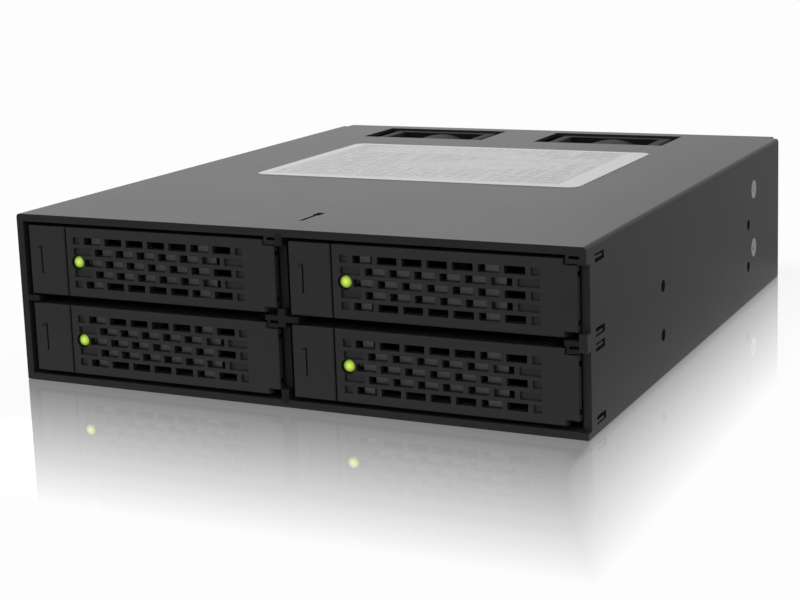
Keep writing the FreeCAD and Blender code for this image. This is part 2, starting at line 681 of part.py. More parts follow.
def grille_cuts():
    cuts = []
    last = FIRST_SLOT + 6 * SLOT_PITCH_X + SLOT_WIDTH
    for row in SLOT_ROWS:
        middle = FACE_HEIGHT / 2 + row * SLOT_PITCH_Z
        low, high = middle - SLOT_HEIGHT / 2, middle + SLOT_HEIGHT / 2
        for x in row_starts(row):
            cuts.append(box(x, x + SLOT_WIDTH, -1, PLATE + 1, low, high))
        gap = SLOT_PITCH_X - SLOT_WIDTH
        near = 4.9 if row % 2 else 2.0
        first = row_starts(row)[0]
        if row:
            cuts.append(box(first - gap - near, first - gap, -1, BLIND_DEPTH, low, high))
        far = last + gap + 2.0
        start = row_starts(row)[-1] + SLOT_WIDTH + gap
        cuts.append(box(start, far, -1, BLIND_DEPTH, low, high))
    return cuts


def beyond_swing(radius, low, high):
    """What lies right of the pin and further from it than a radius."""
    right = box(HINGE_X, FACE_WIDTH + 1, -1, PLATE + 1, low, high)
    return right.cut(rod(radius, V(HINGE_X, HINGE_Y, low), Z_AXIS, high - low))


def handle():
    """Grille lever: slotted face, hinge knuckle and two cam hooks at its right end."""
    x0 = BUTTON_WIDTH + SEAM
    plate, rims = rimmed_face(x0, FACE_WIDTH, HINGE_X - 0.5)
    # right of the pin the plate keeps inside the arcs it swings on, shorter beside the tabs
    plate = plate.cut(beyond_swing(END_R, 0, FACE_HEIGHT))
    for low, high in ((0, NOTCH_HEIGHT), (FACE_HEIGHT - NOTCH_HEIGHT, FACE_HEIGHT)):
        plate = plate.cut(beyond_swing(TAB_REACH - 0.05, low, high))
    plate = soften_front(plate, 0.25)
    left_rim = box(x0, x0 + RIM, PLATE, RIM_DEPTH, RIM, FACE_HEIGHT - RIM)
    knuckle_low, knuckle_high = EAR_LEVELS[0][1] + 0.15, EAR_LEVELS[1][0] - 0.15
    knuckle = rod(KNUCKLE_R, V(HINGE_X, HINGE_Y, knuckle_low), Z_AXIS, knuckle_high - knuckle_low)
    pieces = [plate, knuckle, left_rim] + rims
    # catch behind the left edge, which the button's latch holds
    pieces.append(box(x0 + 0.25, x0 + 1.2, RIM_DEPTH - 0.1, 7.4, 6.6, 10.2))
    for low in (knuckle_low, knuckle_high - CAM_THICK):
        hook = [(-1.5, 0.0), (0.5, -1.0), (4.9, 1.0), (5.2, 2.2), (3.6, 1.9), (1.2, 2.2), (0.0, 3.2)]
        outline = [(HINGE_X + x, HINGE_Y + y) for x, y in hook]
        pieces.append(prism(outline, low, low + CAM_THICK))
    body = join(pieces)

    cuts = grille_cuts()
    for low, high in EAR_LEVELS:
        relief = rod(EAR_R + 0.2, V(HINGE_X, HINGE_Y, low - 0.1), Z_AXIS, high - low + 0.2)
        past = box(HINGE_X, FACE_WIDTH + 1, HINGE_Y - EAR_R - 0.2, 6, low - 0.1, high + 0.1)
        cuts += [relief, past]
    cuts.append(rod(PIN_R + PIN_PLAY, V(HINGE_X, HINGE_Y, -1), Z_AXIS, FACE_HEIGHT + 2))
    cuts.append(rod(LAMP_R + 0.3, V(LAMP_X, -1, FACE_HEIGHT / 2), Y_AXIS, 8))
    return body.cut(cuts)


def grille_shield():
    """Steel sheet on the back of the grille, pierced off the slots so that no line goes through."""
    left = FIRST_SLOT + SHIELD_EDGE
    right = left + SHIELD_WIDTH
    front, back = PLATE - 1, PLATE + SHIELD + 1
    sheet = box(left, right, PLATE, PLATE + SHIELD, RIM + 0.1, FACE_HEIGHT - RIM - 0.1)
    cuts = []
    post_left, post_right = (FIRST_SLOT + x for x in SHIELD_POST)
    reach = 2 * SLOT_PITCH_Z + SLOT_HEIGHT / 2
    middle = FACE_HEIGHT / 2
    cuts.append(box(post_right, right - SHIELD_MARGIN, front, back, middle - reach, middle + reach))
    for row in SLOT_ROWS:
        low = middle + row * SLOT_PITCH_Z - SLOT_HEIGHT / 2
        high = low + SLOT_HEIGHT
        if abs(row) == 2:
            cuts.append(box(left + SHIELD_MARGIN + SHEET, post_left, front, back, low, high))
            continue
        # the first slot of a full row looks onto the solid edge of the sheet
        for x in row_starts(row)[1 - row % 2 : -1]:
            x0 = x + SHIELD_HOLE_START
            cuts.append(box(x0, x0 + SHIELD_HOLE, front, back, low, high))
    return sheet.cut(cuts)


def button():
    """Release button: face, nail groove, stem with the spring's bore, and the latch nose."""
    plate, rims = rimmed_face(0, BUTTON_WIDTH, BUTTON_WIDTH)
    left, right, low, high = STEM
    pieces = [soften_front(plate, 0.25)] + rims
    pieces += [
        box(left, right, PLATE - 0.1, 7.9, low, high),
        box(left, right, 6.95, 7.9, low - 0.65, high + 0.65),
        box(right - 0.1, BUTTON_WIDTH + 0.25, 5.1, 6.1, 6.6, 10.2),
    ]
    groove_x = 3.3
    room = SPRING_R + 0.15
    spring_low, spring_high = SPRING_Z - room, SPRING_Z + room
    cuts = [
        box(left - 1, SPRING_RIGHT, SPRING_Y - room, SPRING_Y + room, spring_low, spring_high),
        box(groove_x, groove_x + 0.45, -1, 0.5, 5.2, 12.0),
        box(groove_x - 0.8, groove_x, -1, 0.3, 11.3, 11.7),
    ]
    return join(pieces).cut(cuts)


def button_spring():
    """Envelope of the coil spring that returns the button."""
    start = V(SPRING_LEFT, SPRING_Y, SPRING_Z)
    return rod(SPRING_R, start, X_AXIS, SPRING_RIGHT - SPRING_LEFT)


def hinge_pin():
    low, high = EAR_LEVELS[0][0], EAR_LEVELS[1][1]
    return rod(PIN_R, V(HINGE_X, HINGE_Y, low), Z_AXIS, high - low)


def light_pipe():
    """Clear rod whose end shows level with the face."""
    return rod(LAMP_R, V(LAMP_X, 0, FACE_HEIGHT / 2), Y_AXIS, TRAY_WALL_Y)


TRAY_PIECES = {
    "tray_plate": tray_plate,
    "tray_frame": tray_frame,
    "handle": handle,
    "grille_shield": grille_shield,
    "button": button,
    "button_spring": button_spring,
    "hinge_pin": hinge_pin,
    "light_pipe": light_pipe,
}


def main():
    os.makedirs("parts", exist_ok=True)
    save("cover", cover())
    save("base_plate", base_plate())
    save("centre_divider", centre_divider())
    save("rear_panel", rear_panel())
    save("backplane_board", backplane())
    save("backplane_screws", Part.makeCompound([backplane_screw(x) for x in BACKPLANE_EARS]))
    side_screws = [side_screw(side, z) for side in (1, -1) for z in SCREW_HEIGHTS]
    save("cover_screws", Part.makeCompound(side_screws))
    save("spec_label", label())
    save("fan_screws", fan_screws())
    for side, x in FAN_X.items():
        save("fan_frame_" + side, fan_frame(x))
        save("fan_rotor_" + side, fan_rotor(x))
    for name, x in PORT_BOARDS.items():
        save(name, port_board(x))
    for name, (x, z) in DATA_PORTS.items():
        save(name, port(x, z, DATA_PORT_HEIGHT))
    for name, (x, z) in POWER_PORTS.items():
        save(name, port(x, z, POWER_PORT_HEIGHT))
    for column in COLUMNS:
        save("shelf_" + column, shelf(column))

    tray = {piece: make() for piece, make in TRAY_PIECES.items()}
    for row in ROWS:
        for column in COLUMNS:
            save("drive_socket_" + row + "_" + column, drive_socket(column, row))
            corner = V(bay_left(column) + FACE_GAP_LEFT, 0, face_bottom(row))
            for piece, shape in tray.items():
                placed = shape.copy()
                placed.translate(corner)
                save(piece + "_" + row + "_" + column, placed)


main()
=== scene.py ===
# %% [markdown]
# # A hot swap drive cage, dressed and lit
# The cage arrives as a finished metal and plastic model with moving trays, handles, buttons and fans.
# This lesson gives every piece its real finish, adds what is too fine for a machined model, such as
# springs, screw recesses and contacts, and then sets up a small studio. Everything is in metres.

# %% Load the model
import json
import math

import bpy
import numpy as np
from mathutils import Matrix, Vector


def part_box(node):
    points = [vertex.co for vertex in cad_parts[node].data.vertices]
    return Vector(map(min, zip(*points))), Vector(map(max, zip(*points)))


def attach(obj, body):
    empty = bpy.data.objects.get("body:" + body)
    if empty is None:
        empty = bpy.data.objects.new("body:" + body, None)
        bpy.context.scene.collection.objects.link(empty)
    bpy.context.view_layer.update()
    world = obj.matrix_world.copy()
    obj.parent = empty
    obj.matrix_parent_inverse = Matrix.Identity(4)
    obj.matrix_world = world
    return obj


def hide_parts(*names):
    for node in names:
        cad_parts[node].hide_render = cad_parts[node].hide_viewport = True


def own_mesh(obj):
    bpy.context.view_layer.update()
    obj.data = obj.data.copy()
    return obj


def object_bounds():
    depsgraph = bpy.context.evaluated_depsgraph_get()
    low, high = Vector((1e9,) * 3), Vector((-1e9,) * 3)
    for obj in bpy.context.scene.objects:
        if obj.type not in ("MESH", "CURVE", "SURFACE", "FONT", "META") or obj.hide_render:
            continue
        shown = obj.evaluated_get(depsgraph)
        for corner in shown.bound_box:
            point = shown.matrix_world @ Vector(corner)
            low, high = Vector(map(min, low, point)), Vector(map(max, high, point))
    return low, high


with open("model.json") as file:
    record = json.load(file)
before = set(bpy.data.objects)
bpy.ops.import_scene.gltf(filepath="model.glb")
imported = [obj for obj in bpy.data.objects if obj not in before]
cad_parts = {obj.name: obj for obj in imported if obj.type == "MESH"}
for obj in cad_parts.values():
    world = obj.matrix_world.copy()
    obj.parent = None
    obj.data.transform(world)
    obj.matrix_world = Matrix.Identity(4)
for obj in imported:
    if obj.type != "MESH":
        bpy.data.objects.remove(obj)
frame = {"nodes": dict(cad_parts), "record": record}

CAD_BOX = [list(corner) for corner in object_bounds()]
TRAYS = ("lower_left", "lower_right", "upper_left", "upper_right")
print("pieces in the model:", len(frame["nodes"]), "box:", CAD_BOX)

# %% [markdown]
# ## Sums on shader sockets
# A procedural finish is arithmetic on patterns. Written as separate nodes it is hard to read, so a
# small class wraps one output socket and lets Python's own operators add the Math nodes. A sum such
# as `1 - mask * 0.4` then reads as it is meant.

# %% A socket that can be added and multiplied
class Field:
    """One value that varies over a surface, as an output socket of a node tree."""

    def __init__(self, tree, socket):
        self.tree = tree
        self.socket = socket

    def put_into(self, target):
        self.tree.links.new(self.socket, target)

    def maths(self, operation, other=None, reflected=False):
        node = self.tree.nodes.new("ShaderNodeMath")
        node.operation = operation
        terms = [self] if other is None else [self, other]
        if reflected:
            terms.reverse()
        for socket, term in zip(node.inputs, terms):
            put(socket, term)
        return Field(self.tree, node.outputs[0])

    def __add__(self, other):
        return self.maths("ADD", other)

    def __sub__(self, other):
        return self.maths("SUBTRACT", other)

    def __mul__(self, other):
        return self.maths("MULTIPLY", other)

    def __truediv__(self, other):
        return self.maths("DIVIDE", other)

    def __rsub__(self, other):
        return self.maths("SUBTRACT", other, reflected=True)

    def __lt__(self, other):
        return self.maths("LESS_THAN", other)

    def __gt__(self, other):
        return self.maths("GREATER_THAN", other)

    def __abs__(self):
        return self.maths("ABSOLUTE")

    __radd__ = __add__
    __rmul__ = __mul__


def put(socket, value):
    """Gives a socket a link or a plain value."""
    if isinstance(value, Field):
        value.put_into(socket)
    elif hasattr(value, "__len__") and len(value) == 3 and socket.type == "RGBA":
        socket.default_value = (*value, 1.0)
    else:
        socket.default_value = value


# %% [markdown]
# ## Adding nodes
# Materials and the room's light are both node trees. Nodes could be added and wired one line at a
# time, but then every finish repeats the same six lines. One method adds any node instead: it takes
# the node's type, then its settings, then what goes into its sockets, which are found by name.

# %% A node tree and its one way to add nodes
def socket_named(sockets, name):
    """The socket in use that has this name; _ stands for a space."""
    wanted = name.replace("_", " ").lower()
    matches = [s for s in sockets if s.enabled and s.name.lower() == wanted]
    if not matches:
        raise KeyError(name + " is not among " + ", ".join(s.name for s in sockets))
    return matches[0]


class NodeSheet:
    """A node tree under construction."""

    def __init__(self, tree):
        self.tree = tree

    def node(self, kind, settings=None, output=0, **values):
        """Adds a node: its settings first, then its sockets by name. Gives one of its outputs."""
        node = self.tree.nodes.new(kind)
        for name, setting in (settings or {}).items():
            setattr(node, name, setting)
        for name, value in values.items():
            put(socket_named(node.inputs, name), value)
        made = node.outputs[output] if isinstance(output, int) else socket_named(node.outputs, output)
        return Field(self.tree, made)

    def parts(self, vector):
        """The three parts of a vector, as fields."""
        split = self.node("ShaderNodeSeparateXYZ", Vector=vector)
        return [Field(self.tree, socket) for socket in split.socket.node.outputs]


# %% [markdown]
# ## A finish
# Every finish here is one Principled shader whose sockets take numbers, or fields for what changes
# over the surface. Object coordinates are used throughout, so a grain has its true size in metres
# and stays put as a tray slides.

# %% One material
class Finish(NodeSheet):
    """A material under construction: sockets() feeds its shader."""

    def __init__(self, name):
        self.material = bpy.data.materials.new(name)
        self.material.use_nodes = True
        super().__init__(self.material.node_tree)
        self.shader = self.tree.nodes["Principled BSDF"]
        self.place = self.node("ShaderNodeTexCoord", output="Object")

    def sockets(self, **values):
        for name, value in values.items():
            put(socket_named(self.shader.inputs, name), value)

    def noise(self, size, detail=2.0, roughness=0.5, stretch=None):
        """Cloudy noise from 0 to 1 whose features are about size metres across."""
        place = self.place
        if stretch:
            place = self.node("ShaderNodeMapping", Vector=place, Scale=stretch)
        return self.node(
            "ShaderNodeTexNoise", Vector=place, Scale=1.0 / size, Detail=detail, Roughness=roughness
        )

    def blend(self, mask, low, high):
        """A colour that goes from low to high as the mask goes from 0 to 1."""
        settings = {"data_type": "RGBA"}
        return self.node("ShaderNodeMix", settings, output="Result", Factor=mask, A=low, B=high)

    def relief(self, height, depth):
        """A bump that is depth metres high where the height field is 1."""
        bump = self.node("ShaderNodeBump", Strength=1.0, Distance=depth, Height=height)
        self.sockets(Normal=bump)


def grey(level):
    return (level, level, level)


# %% [markdown]
# ## Black powder coat
# The cover, base, walls and trays are bent steel with a satin black powder coat. Powder melts into a
# skin with a slight orange peel: bumps about a millimetre across and a hundredth of one high, under
# a finer grain. Handling leaves glossier patches, so roughness follows a broad noise. Real bumps
# would need millions of faces, so they are a bump in the shading, as deep as they are.

# %% Powder coated steel
COAT_RELIEF = 0.000016      # a little over a hundredth of a millimetre, from dip to crest


def powder_coat(name, level, roughness, sheen=0.14):
    """Colour: level times 0.5 to 1.5 by fine flecks. Roughness: broad patches plus a fine grain."""
    coat = Finish(name)
    peel = coat.noise(0.0009, detail=1.0)
    grain = coat.noise(0.00022, detail=2.0)
    patches = coat.noise(0.035, detail=4.0, roughness=0.6)
    flecks = coat.noise(0.0005, detail=2.0, roughness=0.8) * 0.7 + patches * 0.3
    coat.sockets(
        Base_Color=coat.blend(flecks, grey(level * 0.5), grey(level * 1.5)),
        Roughness=patches * 0.05 + (roughness - 0.06) + grain * 0.10,
        Specular_IOR_Level=sheen,
    )
    coat.relief(peel * 0.6 + grain * 0.4, COAT_RELIEF)
    return coat.material


STEEL = powder_coat("satin_powder_coat", 0.032, 0.34)
# the same black coat made darker for the walls and trays inside the cage: painted shade
SHADED_INNER_STEEL = powder_coat("inner_powder_coat", 0.018, 0.50)
print("powder coats:", STEEL.name, SHADED_INNER_STEEL.name)

# %% [markdown]
# ## Moulded plastic
# Handles, buttons and tray frames are glass filled nylon out of an etched mould. The etching gives a
# fine even grit rather than a peel, and the colour is a little deeper than the cover's. The fans'
# plastic is smoother, and that of the ports is almost glossy, so one recipe serves all four.

# %% Etched black plastic
def moulded(name, level, roughness, grit=0.000008, sheen=0.35):
    """Colour: level times 0.9 to 1.1 by how the plastic flowed. Roughness: that plus the etching."""
    plastic = Finish(name)
    etching = plastic.noise(0.00025, detail=3.0, roughness=0.7)
    flow = plastic.noise(0.012, detail=2.0)
    plastic.sockets(
        Base_Color=plastic.blend(flow, grey(level * 0.9), grey(level * 1.1)),
        Roughness=flow * 0.08 + etching * 0.08 + (roughness - 0.08),
        Specular_IOR_Level=sheen,
    )
    plastic.relief(etching, grit)
    return plastic.material


HANDLE_PLASTIC = moulded("etched_nylon", 0.026, 0.50)
FRAME_PLASTIC = moulded("tray_nylon", 0.024, 0.58)
FAN_PLASTIC = moulded("fan_plastic", 0.012, 0.62, grit=0.000004, sheen=0.15)
PORT_PLASTIC = moulded("port_plastic", 0.02, 0.30, grit=0.000002)
print("plastics:", *(m.name for m in (HANDLE_PLASTIC, FRAME_PLASTIC, FAN_PLASTIC, PORT_PLASTIC)))

# %% [markdown]
# ## Plated and drawn metal
# Screws are nickel or zinc plated, the second layer of each grille is dull zinc, and the springs and
# pins are drawn wire. All are metallic shaders that differ in tint and in how their fine scratches
# run: along a wire or a contact blade, and any way on a screw head, where no direction stands out.

# %% Small metal parts
ANY_WAY = (1, 1, 1)
SCRATCH_DEPTH = 0.000003


def plated(name, colour, roughness, stretch=ANY_WAY):
    """Colour: 0.82 to 1 times the metal's own, by tarnish. Roughness: by scratches, drawn out where
    stretch is less than 1."""
    metal = Finish(name)
    scratches = metal.noise(0.0002, detail=3.0, stretch=stretch)
    tarnish = metal.noise(0.004, detail=3.0)
    dull = tuple(part * 0.82 for part in colour)
    metal.sockets(
        Base_Color=metal.blend(tarnish, dull, colour),
        Roughness=scratches * 0.18 + (roughness - 0.09),
        Metallic=1.0,
    )
    metal.relief(scratches, SCRATCH_DEPTH)
    return metal.material


NICKEL = plated("nickel_plate", (0.55, 0.55, 0.54), 0.42)
ZINC = plated("zinc_plate", (0.62, 0.63, 0.65), 0.36)
ZINC_SHEET = plated("dull_zinc_sheet", (0.17, 0.17, 0.175), 0.55)
DRAWN_WIRE = plated("drawn_wire", (0.60, 0.59, 0.57), 0.28, stretch=(0.15, 1, 1))
GOLD = plated("gold_contact", (0.86, 0.62, 0.26), 0.25, stretch=(1, 0.2, 1))
print("metals:", *(m.name for m in (NICKEL, ZINC, ZINC_SHEET, DRAWN_WIRE, GOLD)))

# %% [markdown]
# ## Circuit board
# The backplane and the port boards are glass cloth under green solder mask. Tracks show through the
# mask as paler bands. The boards stand upright, so the tracks are stripes in height that wander a
# little and stop here and there; they mix two greens and stand up by the thickness of the copper.

# %% Solder mask over tracks
TRACK_PITCH = 0.0032
TRACK_HEIGHT = 0.00003


def circuit_board():
    board = Finish("solder_mask")
    _, _, z = board.parts(board.place)
    wander = board.noise(0.006, detail=1.0)
    along = (z + wander * 0.004) / (TRACK_PITCH / 2)
    ripple = along.maths("PINGPONG", 1.0)
    lanes = (ripple > 0.62) * (board.noise(0.011, detail=0.0) > 0.47)
    board.sockets(
        Base_Color=board.blend(lanes, (0.008, 0.075, 0.028), (0.02, 0.14, 0.05)),
        Roughness=board.noise(0.0008) * 0.1 + 0.26,
        Coat_Weight=0.25,
    )
    board.relief(lanes, TRACK_HEIGHT)
    return board.material


SOLDER_MASK = circuit_board()
print("board:", SOLDER_MASK.name, "with a track every", TRACK_PITCH * 1000, "mm")

# %% [markdown]
# ## The silver label
# The cover carries a large matt silver sticker. It is left without words: only the thin ruled lines
# and pale bars of a form that nobody has filled in, on a ground a little darker than its margins.
# An image is the usual way to make a label, but sums on coordinates stay sharp from near by: each
# line is a mask, true where a coordinate is within half a line's width of its place.

# %% Ruled silver foil
RULE = 0.00028              # width of a ruled line
FORM_ROWS = 6
BAR_PITCH = 0.0026
MARGIN_LEFT, MARGIN_RIGHT, MARGIN_FRONT, MARGIN_BACK = 0.0035, 0.0065, 0.0035, 0.0022


def on_line(axis, where):
    """1 where a coordinate is within half a rule's width of its place."""
    return abs(axis - where) < RULE / 2


def ruled_label():
    foil = Finish("ruled_silver_foil")
    x, y, _ = foil.parts(foil.place)
    low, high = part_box("spec_label")
    left, right = low.x + MARGIN_LEFT, high.x - MARGIN_RIGHT
    front, back = low.y + MARGIN_FRONT, high.y - MARGIN_BACK
    inside = (x > left) * (x < right) * (y > front) * (y < back)
    lines = on_line(x, left).maths("MAXIMUM", on_line(x, right))
    for row in range(FORM_ROWS + 1):
        lines = lines.maths("MAXIMUM", on_line(y, front + (back - front) * row / FORM_ROWS))
    lines = lines * (x > left - RULE) * (x < right + RULE) * (y > front - RULE) * (y < back + RULE)
    # pale bars in every row, broken here and there
    bars = ((y - front) / BAR_PITCH).maths("FRACT") > 0.62
    words = foil.noise(0.0016, detail=0.0, stretch=(1, 0.05, 1)) > 0.44
    gaps = foil.noise(0.018, detail=0.0, stretch=(0.4, 1, 1)) > 0.45
    print_mask = bars * words * gaps * inside
    # the form's own ground is printed a little darker than its margins, and not quite evenly
    mottle = foil.noise(0.0015, detail=3.0, roughness=0.7, stretch=(1, 0.7, 1))
    ground = inside * (mottle * 0.9 - 0.21)
    ink = (lines * 0.5).maths("MAXIMUM", print_mask * 0.45 + ground)
    brushed = foil.noise(0.0004, detail=3.0, stretch=(0.08, 1, 1))
    sheet = foil.blend(brushed, grey(0.78), grey(0.86))
    foil.sockets(
        Base_Color=foil.blend(ink * 0.75, sheet, grey(0.17)),
        Roughness=brushed * 0.10 + 0.42,
        Metallic=0.15,
    )
    foil.relief(brushed, 0.000002)
    return foil.material


LABEL_FOIL = ruled_label()
print("label:", LABEL_FOIL.name, "with", FORM_ROWS, "rows")

# %% [markdown]
# ## The lit lamps
# Each tray has a clear rod that carries light from the board to the front. It looks like a bright
# lime bead, pale in the middle, where the rod faces its light source, with a painted highlight a
# little right of and above the middle, and deep green at the rim. The bead's mesh carries an
# attribute, glow, that is 1 at that painted highlight and 0 behind its rim,
# because a pattern in space would need a copy for each of the four beads.

# %% Lime light
def lit_lamp():
    """Emission: from black green to lime as glow goes from 0 to 0.5, and on to pale lime at 1."""
    lamp = Finish("lime_lamp")
    glow = lamp.node("ShaderNodeAttribute", {"attribute_name": "glow"}, output="Fac")
    specks = lamp.noise(0.0008, detail=1.0) * 0.12
    rim = lamp.blend((glow * 2).maths("MINIMUM", 1.0), (0.010, 0.014, 0.003), (0.30, 0.45, 0.035))
    # over a half, the attribute turns the lime pale: the bead's own light plus a painted highlight
    middle = (glow * 2 - 1 - specks).maths("MAXIMUM", 0.0)
    lamp.sockets(
        Base_Color=(0.02, 0.05, 0.004),
        Roughness=specks + 0.10,
        Emission_Color=lamp.blend(middle, rim, (0.68, 0.90, 0.12)),
        Emission_Strength=1.0,
    )
    return lamp.material


LIME = lit_lamp()
print("lamps:", LIME.name)

# %% [markdown]
# ## Give each model piece its finish
# The record already sorts the pieces into material slots, so most finishes follow the slot. A few
# slots hold pieces that are finished apart: the cover is seen from outside, and the walls and trays
# inside take a darker copy of the same coat, which is painted shade.

# %% Finishes by slot
BY_SLOT = {
    "black_steel": SHADED_INNER_STEEL,
    "black_plastic": FRAME_PLASTIC,
    "fan_plastic": FAN_PLASTIC,
    "port_plastic": PORT_PLASTIC,
    "circuit_board": SOLDER_MASK,
    "nickel_screw": NICKEL,
    "zinc_screw": ZINC,
    "zinc_sheet": ZINC_SHEET,
    "spring_steel": DRAWN_WIRE,
    "silver_label": LABEL_FOIL,
    "lime_lamp": LIME,
}


def finish_of(node, slot):
    if node in ("cover", "base_plate"):
        return STEEL
    if node.startswith(("handle_", "button_")) and not node.startswith("button_spring"):
        return HANDLE_PLASTIC
    return BY_SLOT[slot]


for part in frame["record"]["subparts"]:
    mesh_object = frame["nodes"][part["node"]]
    mesh_object.data.materials.clear()
    mesh_object.data.materials.append(finish_of(part["node"], part["material_slot"]))

# %% [markdown]
# ## Closed shells from rings
# Springs, lenses, screws and contacts are all closed skins over a stack of rings. Each could be made
# from a primitive and modifiers, but their shapes are formulas, so one function turns rings of
# points into a mesh: quads join neighbouring rings and a fan closes each end, so no seam or pole is
# left open. Many equal skins, such as a row of contacts, make one mesh.

# %% A mesh from stacked rings
CREASE = math.radians(40)   # edges that bend more than this are shaded sharp


def shell(name, stacks, body, finish, replaced=()):
    """Closed skins. stacks is (shells, rings, points, 3); ring k joins ring k + 1 point by point,
    the last point joins the first, and the mean of each end ring is the tip of its fan."""
    stacks = np.asarray(stacks, float)
    shells, rings, around, _ = stacks.shape
    i, j = np.meshgrid(np.arange(rings - 1), np.arange(around), indexing="ij")
    a, b = i * around + j, i * around + (j + 1) % around
    quads = np.stack([a, b, b + around, a + around], -1).reshape(-1, 4)
    ring = np.arange(around)
    turn = (ring + 1) % around
    first, last = rings * around, rings * around + 1
    top = (rings - 1) * around
    fans = np.concatenate([
        np.stack([turn, ring, np.full(around, first)], -1),
        np.stack([top + ring, top + turn, np.full(around, last)], -1),
    ])
    if volume(stacks[0], quads, fans) < 0:
        quads, fans = quads[:, ::-1], fans[:, ::-1]
    step = rings * around + 2
    tips = np.stack([stacks[:, 0].mean(1), stacks[:, -1].mean(1)], 1)
    points = np.concatenate([stacks.reshape(shells, -1, 3), tips], 1).reshape(-1, 3)
    shift = (np.arange(shells) * step)[:, None, None]
    faces = (quads + shift).reshape(-1, 4).tolist() + (fans + shift).reshape(-1, 3).tolist()
    mesh = bpy.data.meshes.new(name)
    mesh.from_pydata(points.tolist(), [], faces)
    mesh.polygons.foreach_set("use_smooth", np.ones(len(faces), bool))
    mesh.set_sharp_from_angle(angle=CREASE)
    mesh.materials.append(finish)
    piece = bpy.data.objects.new(name, mesh)
    bpy.context.scene.collection.objects.link(piece)
    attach(piece, body)
    if replaced:
        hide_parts(*replaced)
    print(name, "-", len(faces), "faces")
    return piece


def volume(rings, quads, fans):
    """Six times the signed volume: the sum over triangles of a . (b x c)."""
    points = np.concatenate([rings.reshape(-1, 3), [rings[0].mean(0)], [rings[-1].mean(0)]])
    triangles = np.concatenate([quads[:, [0, 1, 2]], quads[:, [0, 2, 3]], fans])
    a, b, c = (points[triangles[:, k]] for k in range(3))
    return float(np.einsum("ij,ij->i", a, np.cross(b, c)).sum())


def circle(count):
    """Angles evenly round a circle, without the repeated last one."""
    return np.arange(count) * (2 * math.pi / count)


# %% [markdown]
# ## Button springs
# Each release button is pushed back by a small compression coil. The model keeps a plain rod for it.
# Blender's Screw modifier would make an even coil, but the ends of a real one are closed: its first
# and last turns lie almost flat. So this coil is a circle carried along a helix of changing pitch.
# The helix gives a point and a direction at each step, and two vectors square to that direction
# carry the circle.

# %% Coil springs
WIRE_R = 0.00014
SPRING_TURNS = 7.5
DEAD_TURNS = 1.25           # turns at each end that lie close together
STEPS_A_TURN = 22


def coil(low, high):
    """A wire along X: angle t runs evenly, and x rises slowly in the dead end turns, fast between."""
    steps = int(SPRING_TURNS * STEPS_A_TURN)
    turns = np.linspace(0, SPRING_TURNS, steps)
    pitch_dead = 2.1 * WIRE_R
    length = high.x - low.x - 2 * WIRE_R
    pitch = (length - 2 * DEAD_TURNS * pitch_dead) / (SPRING_TURNS - 2 * DEAD_TURNS)
    rate = np.where((turns < DEAD_TURNS) | (turns > SPRING_TURNS - DEAD_TURNS), pitch_dead, pitch)
    rise = np.concatenate([[0], np.cumsum((rate[1:] + rate[:-1]) / 2 * np.diff(turns))])
    x = low.x + WIRE_R + rise * (length / rise[-1])
    radius = (high.z - low.z) / 2 - WIRE_R
    angle = turns * 2 * math.pi
    middle = (low + high) / 2
    line = np.stack([x, middle.y + radius * np.cos(angle), middle.z + radius * np.sin(angle)], -1)
    outward = np.stack([np.zeros(steps), np.cos(angle), np.sin(angle)], -1)
    forward = np.gradient(line, axis=0)
    forward /= np.linalg.norm(forward, axis=1, keepdims=True)
    third = np.cross(forward, outward)
    third /= np.linalg.norm(third, axis=1, keepdims=True)
    t = circle(8)
    ring = np.cos(t)[None, :, None] * outward[:, None] + np.sin(t)[None, :, None] * third[:, None]
    return line[:, None] + WIRE_R * ring


for tray in TRAYS:
    rod = "button_spring_" + tray
    low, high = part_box(rod)
    wire = coil(low, high)
    spring = shell("coil_" + tray, [wire], "tray_" + tray, DRAWN_WIRE, (rod,))
    middle = (low + high) / 2
    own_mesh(spring)

# %% [markdown]
# ## Lamp lenses
# The front end of each light rod is a shallow dome. A squashed sphere on a cylinder would show its
# joint in so bright a piece. A lathe shape has none: it is a profile of radius against distance,
# turned about the rod's axis, so the whole skin is one outer product.

# %% Domed light rods
def lathe_along_y(profile, x, z, points=40):
    """Rings about a line along Y: profile rows are (radius, y)."""
    radius, y = np.asarray(profile, float).T
    t = circle(points)
    across = x + radius[:, None] * np.cos(t)
    up = z + radius[:, None] * np.sin(t)
    return np.stack([across, np.broadcast_to(y[:, None], across.shape), up], -1)


LENS_DOME = 0.0006          # height of the dome
STEP_BACK = 0.0001          # how far behind the dome the collar lies, and the chamfer at the far end
# the palest point is a painted highlight, a little right of and above the bead's middle
HIGHLIGHT_PLACE = (0.2, 0.1)         # place of the palest point, to the right and up, in radii
for tray in TRAYS:
    rod = "light_pipe_" + tray
    low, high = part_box(rod)
    middle = (low + high) / 2
    radius = (high.x - low.x) / 2
    slope = np.linspace(0.06, math.pi / 2, 12)
    dome = np.stack([radius * np.sin(slope), low.y + LENS_DOME * (1 - np.cos(slope))], -1)
    collar = (radius, low.y + LENS_DOME + STEP_BACK)
    body = [collar, (radius, high.y - STEP_BACK), (radius - STEP_BACK, high.y)]
    rings = lathe_along_y(np.concatenate([dome, body]), middle.x, middle.z)
    lens = shell("lens_" + tray, [rings], "tray_" + tray, LIME, (rod,))
    # 1 at the painted highlight, less as the distance from there grows, 0 on all that lies behind the
    # dome
    place = np.empty(len(lens.data.vertices) * 3)
    lens.data.vertices.foreach_get("co", place)
    x, y, z = place.reshape(-1, 3).T
    right, up = (x - middle.x) / radius - HIGHLIGHT_PLACE[0], (z - middle.z) / radius - HIGHLIGHT_PLACE[1]
    share = right ** 2 + up ** 2
    glow = np.where(y < low.y + LENS_DOME * 1.01, np.maximum(1 - 0.95 * share ** 0.8, 0), 0.0)
    lens.data.attributes.new("glow", "FLOAT", "POINT").data.foreach_set("value", glow)

